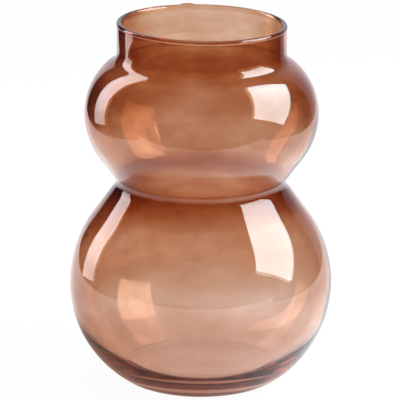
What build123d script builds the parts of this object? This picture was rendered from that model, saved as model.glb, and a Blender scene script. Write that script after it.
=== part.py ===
from build123d import *
from math import acos, asin, cos, degrees, radians, sin
import os

# Gourd vase: one piece of blown glass with two bulbs, one above the other, a pinched waist
# between them, a short straight neck with a fire-polished rim, and a thick floor.
# Sizes are in millimetres and degrees. The foot stands on Z = 0 and the vase's axis is Z.

# Glass
wall = 2.6
neck_wall = 3.2
floor_thickness = 7.5
floor_round = 20.0

# Heel: from this far below the lower bulb's middle, the inside turns in early and the wall grows;
# its round aims this far below the floor, which cuts it off
heel_angle = 14.0
heel_sink = 3.2

# Foot: a flat ring round a shallow dish in the underside
foot_diameter = 104.8
foot_edge_round = 3.5
dish_diameter = 92.0
dish_depth = 0.6

# Lower bulb: its outline is one arc below the widest line and another above it
lower_bulb_diameter = 181.9
lower_under_radius = 77.4
lower_crown_radius = 82.3
lower_flank_angle = 36.0

# Waist: two straight flanks meet in a round crease
waist_diameter = 117.6
waist_round = 7.0

# Upper bulb, flatter than the lower one
upper_flank_angle = 36.1
upper_bulb_diameter = 160.6
upper_under_radius = 49.3
upper_crown_radius = 45.0

# Neck and rim: the wall grows into the neck, and the bead stands out from it on both sides
neck_diameter = 116.2
shoulder_round = 8.4
neck_height = 19.0
rim_stand = 0.2

# Radii of the outer face
foot_radius = foot_diameter / 2
dish_radius = dish_diameter / 2
lower_radius = lower_bulb_diameter / 2
waist_radius = waist_diameter / 2
upper_radius = upper_bulb_diameter / 2
neck_radius = neck_diameter / 2

# The under arc of the lower bulb turns through this angle before the foot's edge takes over
under_centre_radius = lower_radius - lower_under_radius
foot_reach = foot_radius - under_centre_radius
under_angle = degrees(acos(foot_reach / (lower_under_radius - foot_edge_round)))
lower_middle = (
    lower_under_radius * sin(radians(under_angle))
    + foot_edge_round * (1 - sin(radians(under_angle)))
)

# Inside, the heel's round takes over from the under arc, and the floor's round from the heel's
heel_low = sin(radians(heel_angle))
heel_depth = lower_middle - floor_thickness + heel_sink
heel_round = (heel_depth - (lower_under_radius - wall) * heel_low) / (1 - heel_low)
heel_reach = lower_under_radius - wall - heel_round
heel_centre_radius = under_centre_radius + heel_reach * cos(radians(heel_angle))
floor_turn = degrees(acos(1 - heel_sink / (heel_round - floor_round)))
floor_radius = heel_centre_radius + (heel_round - floor_round) * sin(radians(floor_turn))

# The rim's bead, as a circle in the section that meets the neck's two faces
bead_radius = neck_wall / 2 + rim_stand
bead_joint_angle = degrees(acos(neck_wall / 2 / bead_radius))
bead_joint_drop = bead_radius * sin(radians(bead_joint_angle))

# The dish under the floor is part of a sphere
dish_sphere_radius = (dish_radius**2 + dish_depth**2) / (2 * dish_depth)
dish_angle = degrees(asin(dish_radius / dish_sphere_radius))


def shoulder_angle(inset, neck_inset):
    """How far the upper bulb's crown turns before the shoulder runs into the neck."""
    fall = (upper_radius - inset) - (neck_radius - neck_inset)
    return degrees(acos(1 - fall / (upper_crown_radius - inset + shoulder_round + neck_inset)))


def shoulder_rise(inset, neck_inset):
    """How far the neck's straight part begins above the upper bulb's widest line."""
    reach = upper_crown_radius - inset + shoulder_round + neck_inset
    return reach * sin(radians(shoulder_angle(inset, neck_inset)))


def flank(start, angle, bulb_radius, arc_radius, inset, up):
    """Straight side between a bulb's arc and the waist's crease, along the arc's end tangent."""
    bulb_end = bulb_radius - inset - (arc_radius - inset) * (1 - cos(radians(angle)))
    crease_end = waist_radius - inset + (waist_round + inset) * (1 - cos(radians(angle)))
    run = bulb_end - crease_end
    rise = run * cos(radians(angle)) / sin(radians(angle))
    return Line(start, start + Vector(up * run, rise))


def wall_face(bottom, under, inset, neck_inset):
    """One face of the wall in section, from the end of its bottom round up to the rim's bead.

    The inner face is the outer one moved in by inset, and by neck_inset at the neck, so each
    round keeps its centre. Under is the angle of the lower bulb's arc after the bottom round.
    """
    shoulder_turn = shoulder_angle(inset, neck_inset)
    neck_start = shoulder_rise(inset, neck_inset) - shoulder_rise(0, 0)
    neck_run = neck_height - neck_start - bead_joint_drop
    lower_under = JernArc(bottom @ 1, bottom % 1, lower_under_radius - inset, under)
    lower_crown = JernArc(
        lower_under @ 1, lower_under % 1, lower_crown_radius - inset, lower_flank_angle
    )
    lower_flank = flank(
        lower_crown @ 1, lower_flank_angle, lower_radius, lower_crown_radius, inset, -1
    )
    crease = JernArc(
        lower_flank @ 1,
        lower_flank % 1,
        waist_round + inset,
        -lower_flank_angle - upper_flank_angle,
    )
    upper_flank = flank(
        crease @ 1, upper_flank_angle, upper_radius, upper_under_radius, inset, 1
    )
    upper_under = JernArc(
        upper_flank @ 1, upper_flank % 1, upper_under_radius - inset, upper_flank_angle
    )
    upper_crown = JernArc(
        upper_under @ 1, upper_under % 1, upper_crown_radius - inset, shoulder_turn
    )
    shoulder = JernArc(
        upper_crown @ 1, upper_crown % 1, shoulder_round + neck_inset, -shoulder_turn
    )
    return Line(shoulder @ 1, shoulder @ 1 + Vector(0, neck_run))


# Vase body: the wall's section, turned round the axis
with BuildPart() as vase_body:
    with BuildSketch(Plane.XZ):
        with BuildLine():
            dish_centre = (0, dish_depth - dish_sphere_radius)
            CenterArc(dish_centre, dish_sphere_radius, 90 - dish_angle, dish_angle)
            foot_ring = Line((dish_radius, 0), (foot_radius, 0))
            foot_edge = JernArc(foot_ring @ 1, (1, 0), foot_edge_round, 90 - under_angle)
            outer_neck = wall_face(foot_edge, under_angle, 0, 0)
            floor = Line((0, floor_thickness), (floor_radius, floor_thickness))
            floor_edge = JernArc(floor @ 1, (1, 0), floor_round, floor_turn)
            heel = JernArc(floor_edge @ 1, floor_edge % 1, heel_round, 90 - heel_angle - floor_turn)
            wall_face(heel, heel_angle, wall, neck_wall)
            bead_centre = outer_neck @ 1 + Vector(-neck_wall / 2, bead_joint_drop)
            bead_turn = 180 + 2 * bead_joint_angle
            CenterArc(bead_centre, bead_radius, -bead_joint_angle, bead_turn)
            Line((0, dish_depth), (0, floor_thickness))
        make_face()
    revolve(axis=Axis.Z)

vase_body.part.label = "vase_body"

os.makedirs("parts", exist_ok=True)
export_step(vase_body.part, "parts/vase_body.step")

box = vase_body.part.bounding_box()
print("height", round(box.size.Z, 2), "widest", round(box.size.X, 2))
print("neck bore radius", round(neck_radius - neck_wall, 2), "top of the rim", round(box.max.Z, 2))
print("lower middle", round(lower_middle, 2), "floor radius", round(floor_radius, 2))
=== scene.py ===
"""Gourd vase in clear brown glass: its looks, its studio and its camera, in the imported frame.

Lengths are in metres and angles in degrees, unless a docstring says otherwise.
"""

import logging
from dataclasses import dataclass
from enum import Enum
from math import acos, ceil, cos, degrees, pi, radians, sin

import bpy
from mathutils import Matrix, Vector


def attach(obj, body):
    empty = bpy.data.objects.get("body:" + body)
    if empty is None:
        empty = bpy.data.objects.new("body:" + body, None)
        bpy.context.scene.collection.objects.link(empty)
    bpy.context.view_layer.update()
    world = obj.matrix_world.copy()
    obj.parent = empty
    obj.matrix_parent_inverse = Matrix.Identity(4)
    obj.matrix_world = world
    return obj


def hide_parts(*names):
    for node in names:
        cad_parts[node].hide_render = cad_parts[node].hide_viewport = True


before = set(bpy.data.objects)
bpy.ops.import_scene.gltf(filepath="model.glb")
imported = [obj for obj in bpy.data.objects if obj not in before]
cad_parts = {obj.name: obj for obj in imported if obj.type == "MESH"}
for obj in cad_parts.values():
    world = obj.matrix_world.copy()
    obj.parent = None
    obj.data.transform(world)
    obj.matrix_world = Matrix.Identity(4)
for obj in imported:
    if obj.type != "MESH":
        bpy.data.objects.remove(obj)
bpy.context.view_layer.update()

IMAGE_SIDE = 400

log = logging.getLogger("gourd_vase")


class Value:
    """A number socket in a node tree, so that shader maths reads as plain Python."""

    def __init__(self, sheet: "NodeSheet", socket: bpy.types.NodeSocket) -> None:
        """Keep the socket and the sheet that its Math nodes go on."""
        self.sheet = sheet
        self.socket = socket

    def math(self, operation: str, *operands: "Value | float") -> "Value":
        """Add one Math node.

        Args:
            operation: the Math node's operation.
            operands: its inputs in order.

        Returns:
            The node's result.
        """
        inputs = dict(enumerate(operands))
        return self.sheet.value("ShaderNodeMath", {"operation": operation}, inputs)

    def __add__(self, other: "Value | float") -> "Value":
        """Return self + other."""
        return self.math("ADD", self, other)

    def __radd__(self, other: float) -> "Value":
        """Return other + self."""
        return self.math("ADD", other, self)

    def __sub__(self, other: "Value | float") -> "Value":
        """Return self - other."""
        return self.math("SUBTRACT", self, other)

    def __rsub__(self, other: float) -> "Value":
        """Return other - self."""
        return self.math("SUBTRACT", other, self)

    def __mul__(self, other: "Value | float") -> "Value":
        """Return self * other."""
        return self.math("MULTIPLY", self, other)

    def __rmul__(self, other: float) -> "Value":
        """Return other * self."""
        return self.math("MULTIPLY", other, self)

    def __truediv__(self, other: "Value | float") -> "Value":
        """Return self / other."""
        return self.math("DIVIDE", self, other)

    def __rpow__(self, other: float) -> "Value":
        """Return other ** self."""
        return self.math("POWER", other, self)

    def at_most(self, limit: "Value | float") -> "Value":
        """Return the smaller of self and limit."""
        return self.math("MINIMUM", self, limit)

    def hypot(self, other: "Value") -> "Value":
        """Return the length of the vector (self, other)."""
        square = self * self + other * other
        return square.math("SQRT", square)

    def ease(self, low: float, high: float) -> "Value":
        """Go from 0 to 1 in a smooth step.

        Args:
            low: the value up to which the step is 0.
            high: the value from which it is 1.

        Returns:
            The step's height at self.
        """
        settings = {"interpolation_type": "SMOOTHSTEP"}
        inputs = {"Value": self, "From Min": low, "From Max": high}
        return self.sheet.value("ShaderNodeMapRange", settings, inputs)


class NodeSheet:
    """One node tree, filled node by node."""

    def __init__(self, owner: bpy.types.Material | bpy.types.Light | bpy.types.World) -> None:
        """Take over a node tree and empty it.

        Args:
            owner: the material, lamp or world that the tree belongs to.
        """
        owner.use_nodes = True
        self.tree = owner.node_tree
        self.tree.nodes.clear()

    def node(
        self, kind: str, settings: dict | None = None, inputs: dict | None = None
    ) -> bpy.types.Node:
        """Add a node.

        Args:
            kind: the node's type.
            settings: its properties, set first; "stops" fills a colour ramp.
            inputs: its sockets by name or index, each given a number, a colour or a link.

        Returns:
            The new node.
        """
        new = self.tree.nodes.new(kind)
        for name, setting in (settings or {}).items():
            if name == "stops":
                self.fill_ramp(new.color_ramp, setting)
            else:
                setattr(new, name, setting)
        for name, given in (inputs or {}).items():
            if isinstance(given, Value):
                given = given.socket
            if isinstance(given, bpy.types.NodeSocket):
                self.tree.links.new(given, new.inputs[name])
            else:
                new.inputs[name].default_value = given
        return new

    def value(
        self,
        kind: str,
        settings: dict | None = None,
        inputs: dict | None = None,
        output: str | int = 0,
    ) -> Value:
        """Add a node as node() does.

        Args:
            kind: the node's type.
            settings: its properties.
            inputs: its sockets' values or links.
            output: the output wanted, by name or index.

        Returns:
            That output, ready for maths.
        """
        return Value(self, self.node(kind, settings, inputs).outputs[output])

    def axes(self, vector: bpy.types.NodeSocket) -> list[Value]:
        """Return a vector's X, Y and Z."""
        split = self.node("ShaderNodeSeparateXYZ", None, {0: vector})
        return [Value(self, output) for output in split.outputs]

    def colour(self, channels: list[Value]) -> bpy.types.NodeSocket:
        """Return the colour that red, green and blue make."""
        return self.node("ShaderNodeCombineColor", None, dict(enumerate(channels))).outputs[0]

    def ray(self) -> dict[str, Value]:
        """Return what Light Path says of the ray, under the names of its outputs."""
        path = self.node("ShaderNodeLightPath")
        return {output.name: Value(self, output) for output in path.outputs}

    @staticmethod
    def fill_ramp(ramp: bpy.types.ColorRamp, stops: list[tuple[float, float]]) -> None:
        """Give a ramp its stops.

        Args:
            ramp: the ramp to fill.
            stops: position and grey level of each stop, in rising order.
        """
        while len(ramp.elements) < len(stops):
            ramp.elements.new(1.0)
        for element, (position, level) in zip(ramp.elements, stops):
            element.position = position
            element.color = (level, level, level, 1.0)


@dataclass(frozen=True)
class TintStop:
    """How dense the brown is at one height."""

    height: float
    density: float


@dataclass(frozen=True)
class BrownGlass:
    """Clear glass with a brown tint whose density changes with height.

    The tint lies on the wall's faces. A face without tint lets the colour bare through, and each
    unit of the tint's density multiplies that by the colour once. The drifts are the share of the
    density that is lost per metre: to the right at the foot and at the rim, which is painted light
    that makes the right side paler where the softbox shines, and to the back at the neck.
    """

    name: str = "brown_glass"
    once: tuple[float, float, float] = (0.66, 0.41, 0.265)
    bare: tuple[float, float, float] = (1.0, 0.94, 0.94)
    ior: float = 1.5
    roughness: float = 0.0

    # The tint is deeper where a face is seen at a slant, but not in the thick glass of the heel
    slant_depth: float = 2.7
    slant_blend: float = 0.5
    thin_from: float = 0.01
    thin_to: float = 0.06

    # The glass itself, which shows only where it is thick
    body_colour: tuple[float, float, float] = (0.70, 0.45, 0.38)
    body_density: float = 38.0

    # Mottling, in clouds that are flatter than they are wide
    cloud_scale: float = 26.0
    cloud_stretch: float = 1.8
    cloud_detail: float = 4.0
    cloud_roughness: float = 0.6
    cloud_depth: float = 0.70

    # Painted light: the tint thins to the right at the foot and the rim, where the softbox shines
    foot_sidelight_drift: float = 3.0
    rim_sidelight_drift: float = 1.2
    neck_drift: float = 4.5
    neck_from: float = 0.205
    neck_to: float = 0.235
    top: float = 0.2516
    stops: tuple[TintStop, ...] = (
        # Foot and lower bulb
        TintStop(0.0, 0.40),
        TintStop(0.03, 0.28),
        TintStop(0.055, 0.60),
        TintStop(0.066, 0.55),
        TintStop(0.08, 0.40),
        TintStop(0.095, 0.56),
        TintStop(0.12, 0.95),
        # Waist
        TintStop(0.129, 1.70),
        TintStop(0.1375, 2.50),
        TintStop(0.145, 0.80),
        # Upper bulb
        TintStop(0.152, 0.42),
        TintStop(0.164, 0.26),
        TintStop(0.178, 0.62),
        TintStop(0.192, 1.05),
        TintStop(0.206, 1.20),
        TintStop(0.22, 0.80),
        # Neck and rim; the dense stop at the rim is painted shade, darkening the bead into the dark
        # outlines that the dark room seen through it makes
        TintStop(0.23, 1.35),
        TintStop(0.246, 0.95),
        TintStop(0.2505, 1.60),
    )

    def density(self, sheet: NodeSheet, place: bpy.types.NodeSocket) -> Value:
        """Work out the tint's density at a point.

        Args:
            sheet: the node tree.
            place: the point, in Object coordinates.

        Returns:
            The density.
        """
        across, back, height = sheet.axes(place)
        deepest = max(stop.density for stop in self.stops)
        stops = [(stop.height / self.top, stop.density / deepest) for stop in self.stops]
        ramp = sheet.value("ShaderNodeValToRGB", {"stops": stops}, {"Fac": height / self.top})
        stretch = {"Vector": place, "Scale": (1.0, 1.0, self.cloud_stretch)}
        clouds = {
            "Vector": sheet.node("ShaderNodeMapping", None, stretch).outputs[0],
            "Scale": self.cloud_scale,
            "Detail": self.cloud_detail,
            "Roughness": self.cloud_roughness,
        }
        cloud = sheet.value("ShaderNodeTexNoise", None, clouds)
        clouded = deepest * (1 + self.cloud_depth * (2 * cloud - 1))
        # Painted light: the tint thins to the right, where the softbox shines
        lean = self.foot_sidelight_drift + (self.rim_sidelight_drift - self.foot_sidelight_drift) / self.top * height
        front = self.neck_drift * height.ease(self.neck_from, self.neck_to)
        drift = 1 - lean * across - front * back
        slant = sheet.value("ShaderNodeLayerWeight", None, {"Blend": self.slant_blend}, "Facing")
        thin = height.ease(self.thin_from, self.thin_to)
        return ramp * clouded * drift * (1 + self.slant_depth * thin * slant * slant)

    def material(self) -> bpy.types.Material:
        """Make the glass.

        Returns:
            The material.
        """
        glass = bpy.data.materials.new(self.name)
        sheet = NodeSheet(glass)
        place = sheet.node("ShaderNodeTexCoord").outputs["Object"]
        density = self.density(sheet, place)
        tint = [bare * once**density for once, bare in zip(self.once, self.bare)]
        shader = sheet.node(
            "ShaderNodeBsdfPrincipled",
            None,
            {
                "Base Color": sheet.colour(tint),
                "Roughness": self.roughness,
                "IOR": self.ior,
                "Transmission Weight": 1.0,
            },
        )
        body = sheet.node(
            "ShaderNodeVolumeAbsorption",
            None,
            {"Color": (*self.body_colour, 1.0), "Density": self.body_density},
        )
        sheet.node(
            "ShaderNodeOutputMaterial",
            None,
            {"Surface": shader.outputs[0], "Volume": body.outputs[0]},
        )
        return glass


@dataclass(frozen=True)
class WhiteTable:
    """A white table top, whitened for the camera and behind the glass, with a little shadow.

    In reflections it glows instead, with painted light: brighter on the right near the softbox, and
    a painted brown shadow round the foot, for the light that comes through the glass.
    """

    name: str = "white_table"
    paint: float = 0.92
    camera_white: float = 0.95

    # Seen through the glass, the table is a little less white within this distance of the axis
    under_white: float = 0.92
    open_from: float = 0.10
    open_to: float = 0.30

    # In reflections, the painted brown shadow round the foot, and how far out it reaches from its
    # middle
    painted_foot_shadow: tuple[float, float, float] = (0.48, 0.31, 0.24)
    shade_side: float = -0.045
    shade_from: float = 0.06
    shade_to: float = 0.15

    # In reflections, the table's glow, and where its painted pool of light grows and fades to the
    # right and the back
    mirror_colour: tuple[float, float, float] = (0.97, 0.96, 1.0)
    left_level: float = 1.15
    painted_right_light: float = 2.1
    right_from: float = -0.02
    right_to: float = 0.22
    right_far: float = 0.20
    right_end: float = 0.40
    right_back: float = 0.25

    def glow(self, across: Value, back: Value) -> list[Value]:
        """Work out the painted light and shadow that the table shows in reflections.

        Args:
            across: how far to the right a point is.
            back: how far to the back it is.

        Returns:
            The glow's red, green and blue.
        """
        # Painted pool of light on the right, where the softbox is
        brighter = across.ease(self.right_from, self.right_to)
        brighter = brighter * (1 - back.ease(0.0, self.right_back))
        brighter = brighter * (1 - across.ease(self.right_far, self.right_end))
        side = self.left_level + (self.painted_right_light - self.left_level) * brighter
        # Painted shadow round the foot, its middle shifted to the left, away from the softbox
        lit = (across - self.shade_side).hypot(back).ease(self.shade_from, self.shade_to)
        return [
            cast * side * (under + (1 - under) * lit)
            for cast, under in zip(self.mirror_colour, self.painted_foot_shadow)
        ]

    def material(self) -> bpy.types.Material:
        """Make the table's white.

        Returns:
            The material.
        """
        top = bpy.data.materials.new(self.name)
        sheet = NodeSheet(top)
        paint = sheet.node(
            "ShaderNodeBsdfDiffuse", None, {"Color": (self.paint, self.paint, self.paint, 1.0)}
        )
        ray = sheet.ray()
        camera = ray["Is Camera Ray"]
        mirrored = ray["Glossy Depth"].at_most(1.0)
        across, back, _ = sheet.axes(sheet.node("ShaderNodeTexCoord").outputs["Object"])
        opened = across.hypot(back).ease(self.open_from, self.open_to)
        through = opened + self.under_white * (1 - opened)
        seen = mirrored + (1 - mirrored) * through
        white = self.camera_white * camera + (1 - camera) * seen
        levels = [1 - mirrored + mirrored * level for level in self.glow(across, back)]
        glow = sheet.node("ShaderNodeEmission", None, {"Color": sheet.colour(levels)})
        mix = sheet.node(
            "ShaderNodeMixShader", None, {0: white, 1: paint.outputs[0], 2: glow.outputs[0]}
        )
        sheet.node("ShaderNodeOutputMaterial", None, {"Surface": mix.outputs[0]})
        return top


class Turn(Enum):
    """Which way the section bends, seen with the axis on the left."""

    LEFT = 1
    RIGHT = -1


class SectionPen:
    """Draws the wall's section in edit mode, one line or arc after another, in the X-Z plane.

    An arc has at least fewest_steps steps, and none of them turns by more than widest_step.
    """

    seed_size: float = 0.001
    widest_step: float = 9.0
    fewest_steps: int = 2

    def __init__(self, start: tuple[float, float], heading: float, spacing: float) -> None:
        """Add the first point.

        Args:
            start: radius and height of the first point.
            heading: first direction, where 0 is outwards and 90 is up.
            spacing: longest step along the line.
        """
        self.place = Vector((start[0], 0.0, start[1]))
        self.heading = heading
        self.spacing = spacing
        bpy.ops.mesh.primitive_plane_add(size=self.seed_size, location=self.place)
        bpy.ops.object.mode_set(mode="EDIT")
        bpy.ops.mesh.select_all(action="SELECT")
        bpy.ops.mesh.merge(type="CENTER")

    @staticmethod
    def along(angle: float) -> Vector:
        """Return the unit direction at an angle to the outward radius."""
        return Vector((cos(radians(angle)), 0.0, sin(radians(angle))))

    def run(self, length: float) -> None:
        """Draw a straight line along the heading.

        Args:
            length: the line's length.
        """
        steps = max(1, ceil(length / self.spacing))
        move = self.along(self.heading) * (length / steps)
        for _ in range(steps):
            bpy.ops.mesh.extrude_region_move(TRANSFORM_OT_translate={"value": move})
        self.place = self.place + move * steps

    def corner(self, angle: float) -> None:
        """Turn on the spot, to the left if the angle is positive."""
        self.heading += angle

    def bend(self, radius: float, angle: float, way: Turn = Turn.LEFT) -> None:
        """Draw an arc that starts along the heading.

        Args:
            radius: the arc's radius.
            angle: how far it turns.
            way: the side that it turns to.
        """
        centre = self.place + self.along(self.heading + 90 * way.value) * radius
        by_angle = ceil(angle / self.widest_step)
        by_length = ceil(radius * radians(angle) / self.spacing)
        bpy.ops.mesh.spin(
            steps=max(by_angle, by_length, self.fewest_steps),
            angle=radians(angle) * way.value,
            center=centre,
            axis=(0.0, 1.0, 0.0),
            use_auto_merge=False,
        )
        self.heading += angle * way.value
        self.place = centre - self.along(self.heading + 90 * way.value) * radius


@dataclass
class VaseBody:
    """The blown vase: two bulbs, a pinched waist, a straight neck, a round rim, a thick floor."""

    glass: BrownGlass

    # Glass
    wall: float = 0.0026
    neck_wall: float = 0.0032
    floor_thickness: float = 0.0075
    floor_round: float = 0.020
    heel_angle: float = 14.0
    heel_round: float = 0.05799

    # Foot, a flat ring round a shallow dish
    foot_radius: float = 0.0524
    foot_edge_round: float = 0.0035
    dish_radius: float = 0.046
    dish_depth: float = 0.0006

    # Lower bulb
    lower_radius: float = 0.09095
    lower_under_radius: float = 0.0774
    lower_crown_radius: float = 0.0823
    lower_flank_angle: float = 36.0

    # Waist
    waist_radius: float = 0.0588
    waist_round: float = 0.007

    # Upper bulb
    upper_flank_angle: float = 36.1
    upper_radius: float = 0.0803
    upper_under_radius: float = 0.0493
    upper_crown_radius: float = 0.045

    # Neck and rim; the bead stands out from the neck and swells into its bore
    neck_radius: float = 0.0581
    shoulder_round: float = 0.0084
    neck_height: float = 0.019
    rim_stand: float = 0.0002
    rim_swell: float = 0.0006

    # Mesh
    spacing: float = 0.0024
    slices: int = 224
    merge_distance: float = 1e-6
    smooth_angle: float = 20.0

    # What blowing leaves: a ripple, a rim that leans and a lump on it at the back
    ripple: float = 0.0003
    ripple_size: float = 0.045
    rim_lean: float = 1.0
    lump_bearing: float = 101.0
    lump_reach: float = 0.0035
    lump_height: float = 0.0009

    def under_angle(self) -> float:
        """Return the angle of the lower bulb's outer arc below its widest line."""
        reach = self.foot_radius - (self.lower_radius - self.lower_under_radius)
        return degrees(acos(reach / (self.lower_under_radius - self.foot_edge_round)))

    def floor_turn(self) -> float:
        """Work out the round between the flat floor and the thick heel.

        Returns:
            The angle that it turns through.
        """
        under = radians(self.under_angle())
        middle = self.lower_under_radius * sin(under) + self.foot_edge_round * (1 - sin(under))
        heel_reach = self.lower_under_radius - self.wall - self.heel_round
        heel_centre = middle - heel_reach * sin(radians(self.heel_angle))
        floor_centre = self.floor_thickness + self.floor_round
        return degrees(acos((heel_centre - floor_centre) / (self.heel_round - self.floor_round)))

    def shoulder(self, inset: float, neck_inset: float) -> tuple[float, float]:
        """Work out the shoulder between the upper bulb's crown and the neck.

        Args:
            inset: how far inside the outer face the crown is.
            neck_inset: how far inside the outer face the neck is.

        Returns:
            The angle that both turn through, and the height of the neck's start over the crown's.
        """
        fall = (self.upper_radius - inset) - (self.neck_radius - neck_inset)
        reach = self.upper_crown_radius - inset + self.shoulder_round + neck_inset
        turn = acos(1 - fall / reach)
        return degrees(turn), reach * sin(turn)

    def flank(self, angle: float, bulb_radius: float, arc_radius: float, inset: float) -> float:
        """Work out the straight side between a bulb's arc and the crease.

        Args:
            angle: the flank's angle from upright.
            bulb_radius: the bulb's widest radius outside.
            arc_radius: the radius of the bulb's arc outside.
            inset: how far inside the outer face this is.

        Returns:
            The length of the straight side.
        """
        fall = 1 - cos(radians(angle))
        bulb_end = bulb_radius - inset - (arc_radius - inset) * fall
        crease_end = self.waist_radius - inset + (self.waist_round + inset) * fall
        return (bulb_end - crease_end) / sin(radians(angle))

    def lower_flank(self, inset: float) -> float:
        """Return the length of the straight side under the crease."""
        sizes = (self.lower_flank_angle, self.lower_radius, self.lower_crown_radius)
        return self.flank(*sizes, inset)

    def upper_flank(self, inset: float) -> float:
        """Return the length of the straight side over the crease."""
        sizes = (self.upper_flank_angle, self.upper_radius, self.upper_under_radius)
        return self.flank(*sizes, inset)

    def draw_outside(self, pen: SectionPen, neck_run: float) -> None:
        """Draw the outer face from the dish's middle up to the bead.

        Args:
            pen: the pen, on the axis at the top of the dish.
            neck_run: length of the straight neck outside.
        """
        dish_ball = (self.dish_radius**2 + self.dish_depth**2) / (2 * self.dish_depth)
        dish_angle = degrees(acos(1 - self.dish_depth / dish_ball))
        turn, _ = self.shoulder(0.0, 0.0)
        pen.bend(dish_ball, dish_angle, Turn.RIGHT)
        pen.corner(dish_angle)
        pen.run(self.foot_radius - self.dish_radius)
        pen.bend(self.foot_edge_round, 90 - self.under_angle())
        pen.bend(self.lower_under_radius, self.under_angle())
        pen.bend(self.lower_crown_radius, self.lower_flank_angle)
        pen.run(self.lower_flank(0.0))
        pen.bend(self.waist_round, self.lower_flank_angle + self.upper_flank_angle, Turn.RIGHT)
        pen.run(self.upper_flank(0.0))
        pen.bend(self.upper_under_radius, self.upper_flank_angle)
        pen.bend(self.upper_crown_radius, turn)
        pen.bend(self.shoulder_round, turn, Turn.RIGHT)
        pen.run(neck_run)

    def draw_inside(self, pen: SectionPen, neck_run: float) -> None:
        """Draw the inner face from the bead down to the middle of the floor.

        Args:
            pen: the pen, at the bead's inner end.
            neck_run: how far that is above the start of the straight neck outside.
        """
        wall = self.wall
        _, outer_rise = self.shoulder(0.0, 0.0)
        turn, rise = self.shoulder(wall, self.neck_wall)
        pen.run(neck_run + outer_rise - rise)
        pen.bend(self.shoulder_round + self.neck_wall, turn)
        pen.bend(self.upper_crown_radius - wall, turn, Turn.RIGHT)
        pen.bend(self.upper_under_radius - wall, self.upper_flank_angle, Turn.RIGHT)
        pen.run(self.upper_flank(wall))
        pen.bend(self.waist_round + wall, self.lower_flank_angle + self.upper_flank_angle)
        pen.run(self.lower_flank(wall))
        pen.bend(self.lower_crown_radius - wall, self.lower_flank_angle, Turn.RIGHT)
        pen.bend(self.lower_under_radius - wall, self.heel_angle, Turn.RIGHT)
        pen.bend(self.heel_round, 90 - self.heel_angle - self.floor_turn(), Turn.RIGHT)
        pen.bend(self.floor_round, self.floor_turn(), Turn.RIGHT)
        pen.run(pen.place.x)

    def draw_section(self) -> None:
        """Draw the whole section, with the rim's bead between its outer and inner face."""
        bead_radius = (self.neck_wall + self.rim_stand + self.rim_swell) / 2
        bead_height = self.neck_height + self.neck_wall / 2 + self.rim_stand - bead_radius
        outer_joint = acos(1 - self.rim_stand / bead_radius)
        inner_joint = acos(1 - self.rim_swell / bead_radius)
        pen = SectionPen((0.0, self.dish_depth), 0.0, self.spacing)
        self.draw_outside(pen, bead_height - bead_radius * sin(outer_joint))
        pen.corner(-degrees(outer_joint))
        pen.bend(bead_radius, 180 + degrees(outer_joint + inner_joint))
        pen.corner(-degrees(inner_joint))
        self.draw_inside(pen, bead_height - bead_radius * sin(inner_joint))

    def build(self) -> bpy.types.Object:
        """Blow the vase: draw its section, turn it round the axis and let the glass ripple.

        Returns:
            The finished piece.
        """
        bpy.ops.object.select_all(action="DESELECT")
        self.draw_section()
        bpy.ops.mesh.select_all(action="SELECT")
        bpy.ops.mesh.spin(
            steps=self.slices, angle=2 * pi, center=(0.0, 0.0, 0.0), axis=(0.0, 0.0, 1.0)
        )
        bpy.ops.mesh.select_all(action="SELECT")
        bpy.ops.mesh.remove_doubles(threshold=self.merge_distance)
        bpy.ops.mesh.normals_make_consistent(inside=False)
        bpy.ops.object.mode_set(mode="OBJECT")
        vase = bpy.context.view_layer.objects.active
        vase.name = "vase_glass"
        bpy.ops.object.transform_apply(location=True, rotation=True, scale=True)
        self.settle_rim(vase)
        self.let_ripple(vase)
        bpy.ops.object.shade_smooth_by_angle(angle=radians(self.smooth_angle))
        return vase

    @staticmethod
    def pick(vase: bpy.types.Object, middle: Vector, reach: float, above: float) -> None:
        """Go into edit mode with only some points selected.

        Args:
            vase: the piece.
            middle: the point to pick round.
            reach: how far from it the points may be, seen from above.
            above: the height that they are above.
        """
        bpy.ops.object.mode_set(mode="EDIT")
        bpy.ops.mesh.select_all(action="DESELECT")
        bpy.ops.object.mode_set(mode="OBJECT")
        for point in vase.data.vertices:
            near = (point.co - middle).to_2d().length < reach
            point.select = near and point.co.z > above
        bpy.ops.object.mode_set(mode="EDIT")

    def settle_rim(self, vase: bpy.types.Object) -> None:
        """Let the rim sink a little towards one side, and leave a small lump on it at the back.

        Args:
            vase: the piece.
        """
        top = max(point.co.z for point in vase.data.vertices)
        bead = self.neck_wall + self.rim_stand + self.rim_swell
        self.pick(vase, Vector((0.0, 0.0, top)), 2 * self.neck_radius, top - bead)
        bpy.ops.transform.rotate(
            value=radians(-self.rim_lean),
            orient_axis="Y",
            center_override=(-self.neck_radius, 0.0, top),
            use_proportional_edit=True,
            proportional_edit_falloff="SMOOTH",
            proportional_size=self.neck_height,
        )
        bpy.ops.object.mode_set(mode="OBJECT")
        bearing = radians(self.lump_bearing)
        lump = Vector((cos(bearing), sin(bearing), 0.0)) * self.neck_radius
        self.pick(vase, lump, self.lump_reach, top - 2 * bead)
        bpy.ops.transform.translate(
            value=(0.0, 0.0, self.lump_height),
            use_proportional_edit=True,
            proportional_edit_falloff="SMOOTH",
            proportional_size=self.lump_reach,
        )
        bpy.ops.object.mode_set(mode="OBJECT")

    def let_ripple(self, vase: bpy.types.Object) -> None:
        """Sink both faces here and there, a little, so that reflections wander as on blown glass.

        Args:
            vase: the piece.
        """
        drift = bpy.data.textures.new("glass_drift", "CLOUDS")
        drift.noise_scale = self.ripple_size
        drift.noise_depth = 0
        ripple = vase.modifiers.new("ripple", "DISPLACE")
        ripple.texture = drift
        ripple.texture_coords = "LOCAL"
        ripple.mid_level = 1.0
        ripple.strength = self.ripple
        bpy.ops.object.modifier_apply(modifier=ripple.name)

    def dress(self, vase: bpy.types.Object) -> None:
        """Give the piece its glass and tie it to the frame.

        Args:
            vase: the piece.
        """
        vase.data.materials.clear()
        vase.data.materials.append(self.glass.material())
        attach(vase, "root")
        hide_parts("vase_body")


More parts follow.
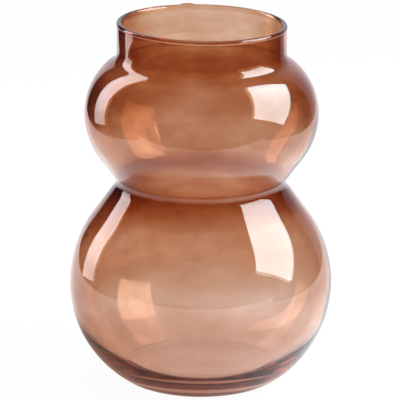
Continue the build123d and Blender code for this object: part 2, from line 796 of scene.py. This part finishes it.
@dataclass(frozen=True)
class Softbox:
    """A flat rectangular lamp that faces the vase and that only reflections and shading see.

    Its bearing is counted from the front to the right. It glows at foot_level up to foot_height
    and in full from full_height, and rays that were mirrored inside the glass see it at
    inner_level.
    """

    name: str
    bearing: float
    elevation: float
    distance: float
    width: float
    height: float
    radiance: float
    roll: float = 0.0
    lift: float = 0.0
    colour: tuple[float, float, float] = (1.0, 1.0, 1.0)
    foot_level: float = 1.0
    foot_height: float = 0.0
    full_height: float = 0.5
    inner_level: float = 1.6

    def shine(self, lamp: bpy.types.AreaLight) -> None:
        """Set how bright the lamp is over its height and for each kind of ray.

        Args:
            lamp: the lamp's light.
        """
        sheet = NodeSheet(lamp)
        ray = sheet.ray()
        bounced = (ray["Glossy Depth"] + ray["Diffuse Depth"]).at_most(1.0)
        through = ray["Is Transmission Ray"]
        shown = 1 - through + through * bounced * self.inner_level
        _, _, height = sheet.axes(sheet.node("ShaderNodeNewGeometry").outputs["Position"])
        risen = height.ease(self.foot_height, self.full_height)
        level = self.foot_level + (1 - self.foot_level) * risen
        glow = sheet.node("ShaderNodeEmission", None, {"Color": level * shown})
        sheet.node("ShaderNodeOutputLight", None, {"Surface": glow.outputs[0]})

    def build(self, target: Vector) -> bpy.types.Object:
        """Hang the lamp.

        Args:
            target: the point that the lamp faces.

        Returns:
            The lamp.
        """
        lamp = bpy.data.lights.new(self.name, "AREA")
        lamp.shape = "RECTANGLE"
        lamp.size = self.width
        lamp.size_y = self.height
        lamp.energy = self.radiance * pi * self.width * self.height
        lamp.color = self.colour
        self.shine(lamp)
        stand = bpy.data.objects.new(self.name, lamp)
        bpy.context.scene.collection.objects.link(stand)
        bearing = radians(self.bearing)
        elevation = radians(self.elevation)
        out = cos(elevation)
        away = Vector((sin(bearing) * out, -cos(bearing) * out, sin(elevation)))
        place = target + away * self.distance + Vector((0.0, 0.0, self.lift))
        facing = away.to_track_quat("Z", "Y").to_matrix().to_4x4()
        tilt = Matrix.Rotation(radians(self.roll), 4, "Z")
        stand.matrix_world = Matrix.Translation(place) @ facing @ tilt
        stand.visible_camera = False
        return stand


@dataclass
class Studio:
    """A white table, card and backdrop, a softbox on the right and a strip light on the left."""

    table: WhiteTable
    table_left: float = -0.55
    table_right: float = 0.60
    table_front: float = -0.33
    table_back: float = 1.70
    card_distance: float = 0.324
    card_height: float = 0.05

    # The backdrop in reflections: its edges as bearings from the back to the right, how soft they
    # are, where it fades and to what level, and the Y of a direction that sees it in full
    backdrop_left: float = -27.0
    backdrop_right: float = 47.0
    backdrop_edge: float = 1.5
    backdrop_fade_from: float = 20.0
    backdrop_fade_to: float = 45.0
    backdrop_dim: float = 0.35
    backdrop_full: float = 0.1
    backdrop_colour: tuple[float, float, float] = (0.90, 0.90, 1.0)

    # The rest of the room, in reflections and as light on the table
    room_level: float = 0.04
    shade_level: float = 0.40

    bounces: int = 32
    mirror_bounces: int = 16
    target: tuple[float, float, float] = (0.0, 0.0, 0.13)
    lamps: tuple[Softbox, ...] = (
        Softbox(
            name="softbox_right",
            bearing=83.6,
            elevation=31.1,
            distance=1.11,
            width=0.80,
            height=1.03,
            radiance=13.0,
            roll=-37.7,
            colour=(0.76, 0.93, 1.0),
            foot_level=0.72,
            foot_height=0.28,
            full_height=1.1,
            inner_level=4.0,
        ),
        Softbox(
            name="strip_left",
            bearing=-120.3,
            elevation=0.0,
            distance=1.2,
            width=0.40,
            height=2.06,
            radiance=6.2,
            roll=8.0,
            lift=0.84,
            colour=(0.92, 0.96, 1.0),
            foot_level=0.50,
        ),
        Softbox(
            name="strip_left_edge",
            bearing=-111.5,
            elevation=0.0,
            distance=1.19,
            width=0.04,
            height=1.5,
            radiance=2.0,
            roll=8.0,
            lift=0.82,
            colour=(0.92, 0.96, 1.0),
        ),
    )

    @staticmethod
    def flat(
        name: str, size: tuple[float, float], middle: tuple[float, float, float], tilt: float
    ) -> bpy.types.Object:
        """Add a flat rectangle.

        Args:
            name: its name.
            size: its width and its depth.
            middle: the point that its middle is on.
            tilt: how far its back edge is raised.

        Returns:
            The rectangle, at the origin with its place in its mesh.
        """
        bpy.ops.object.select_all(action="DESELECT")
        bpy.ops.mesh.primitive_plane_add(size=1.0, rotation=(radians(tilt), 0.0, 0.0))
        board = bpy.context.view_layer.objects.active
        board.name = name
        board.scale = (*size, 1.0)
        board.location = middle
        bpy.ops.object.transform_apply(location=True, rotation=True, scale=True)
        return board

    def lay_table(self, white: bpy.types.Material) -> None:
        """Lay the table top under the vase.

        Args:
            white: the table's white.
        """
        size = (self.table_right - self.table_left, self.table_back - self.table_front)
        across = (self.table_right + self.table_left) / 2
        back = (self.table_back + self.table_front) / 2
        top = self.flat("table_top", size, (across, back, 0.0), 0.0)
        top.data.materials.append(white)

    def stand_card(self, white: bpy.types.Material) -> None:
        """Stand a low white card in front of the vase, which only its reflections show.

        Args:
            white: the table's white.
        """
        size = (self.table_right - self.table_left, self.card_height)
        across = (self.table_right + self.table_left) / 2
        middle = (across, -self.card_distance, self.card_height / 2)
        card = self.flat("bounce_card", size, middle, 90.0)
        card.data.materials.append(white)
        card.visible_camera = False

    def backdrop(self, across: Value, back: Value) -> Value:
        """Work out how much of the backdrop a direction sees.

        Args:
            across: the direction's X.
            back: the direction's Y.

        Returns:
            1 on the backdrop, less where it fades, and 0 beside it.
        """
        side = across / across.hypot(back)
        left = sin(radians(self.backdrop_left))
        right = sin(radians(self.backdrop_right))
        edge = radians(self.backdrop_edge)
        inside = side.ease(left - edge, left + edge) * (1 - side.ease(right - edge, right + edge))
        behind = back.ease(0.0, self.backdrop_full)
        fade_from = sin(radians(self.backdrop_fade_from))
        fade_to = sin(radians(self.backdrop_fade_to))
        fade = side.ease(fade_from, fade_to)
        return inside * behind * (1 - (1 - self.backdrop_dim) * fade)

    def light_room(self) -> None:
        """Set the world: white behind the glass, a white backdrop and a dim room in reflections."""
        world = bpy.data.worlds.new("studio")
        bpy.context.scene.world = world
        sheet = NodeSheet(world)
        across, back, _ = sheet.axes(sheet.node("ShaderNodeTexCoord").outputs["Generated"])
        backdrop = self.backdrop(across, back)
        ray = sheet.ray()
        mirrored = ray["Glossy Depth"].at_most(1.0)
        shading = ray["Diffuse Depth"].at_most(1.0)
        straight = ray["Is Transmission Ray"] * (1 - mirrored) * (1 - shading)
        plain = (straight + ray["Is Camera Ray"]).at_most(1.0)
        levels = []
        for paint in self.backdrop_colour:
            room = self.room_level + (paint - self.room_level) * backdrop
            room = room * (1 - shading) + self.shade_level * shading
            levels.append(plain + (1 - plain) * room)
        ground = sheet.node("ShaderNodeBackground", None, {"Color": sheet.colour(levels)})
        sheet.node("ShaderNodeOutputWorld", None, {"Surface": ground.outputs[0]})

    def build(self) -> None:
        """Set up the table, the room and the lamps."""
        white = self.table.material()
        self.lay_table(white)
        self.stand_card(white)
        self.light_room()
        for lamp in self.lamps:
            lamp.build(Vector(self.target))
            log.info("lamp %s", lamp.name)
        scene = bpy.context.scene
        scene.view_settings.view_transform = "Standard"
        scene.cycles.max_bounces = self.bounces
        scene.cycles.transmission_bounces = self.bounces
        scene.cycles.glossy_bounces = self.mirror_bounces


@dataclass(frozen=True)
class PhotoCamera:
    """The photo's camera, in front of the vase and above it.

    The lens and the sensor are in millimetres, and the side shift is in pixels of the image.
    """

    distance: float = 1.9
    height: float = 0.6801
    aim_height: float = 0.125
    lens: float = 258.45
    sensor: float = 36.0
    side_shift: float = 1.1
    roll: float = 0.3
    nearest: float = 0.05

    def build(self) -> bpy.types.Object:
        """Set up the camera and make it the scene's.

        Returns:
            The camera.
        """
        optics = bpy.data.cameras.new("photo_camera")
        optics.lens = self.lens
        optics.sensor_width = self.sensor
        optics.shift_x = -self.side_shift / IMAGE_SIDE
        optics.clip_start = self.nearest
        camera = bpy.data.objects.new("photo_camera", optics)
        bpy.context.scene.collection.objects.link(camera)
        place = Vector((0.0, -self.distance, self.height))
        aim = Vector((0.0, 0.0, self.aim_height)) - place
        facing = aim.to_track_quat("-Z", "Y").to_matrix().to_4x4()
        tilt = Matrix.Rotation(radians(self.roll), 4, "Z")
        camera.matrix_world = Matrix.Translation(place) @ facing @ tilt
        bpy.context.scene.camera = camera
        return camera


def main() -> None:
    """Build the vase, the studio and the camera."""
    logging.basicConfig(level=logging.INFO, format="%(name)s: %(message)s")
    body = VaseBody(BrownGlass())
    vase = body.build()
    body.dress(vase)
    log.info("piece %s: %d faces", vase.name, len(vase.data.polygons))
    Studio(WhiteTable()).build()
    PhotoCamera().build()


if __name__ == "__main__":
    main()
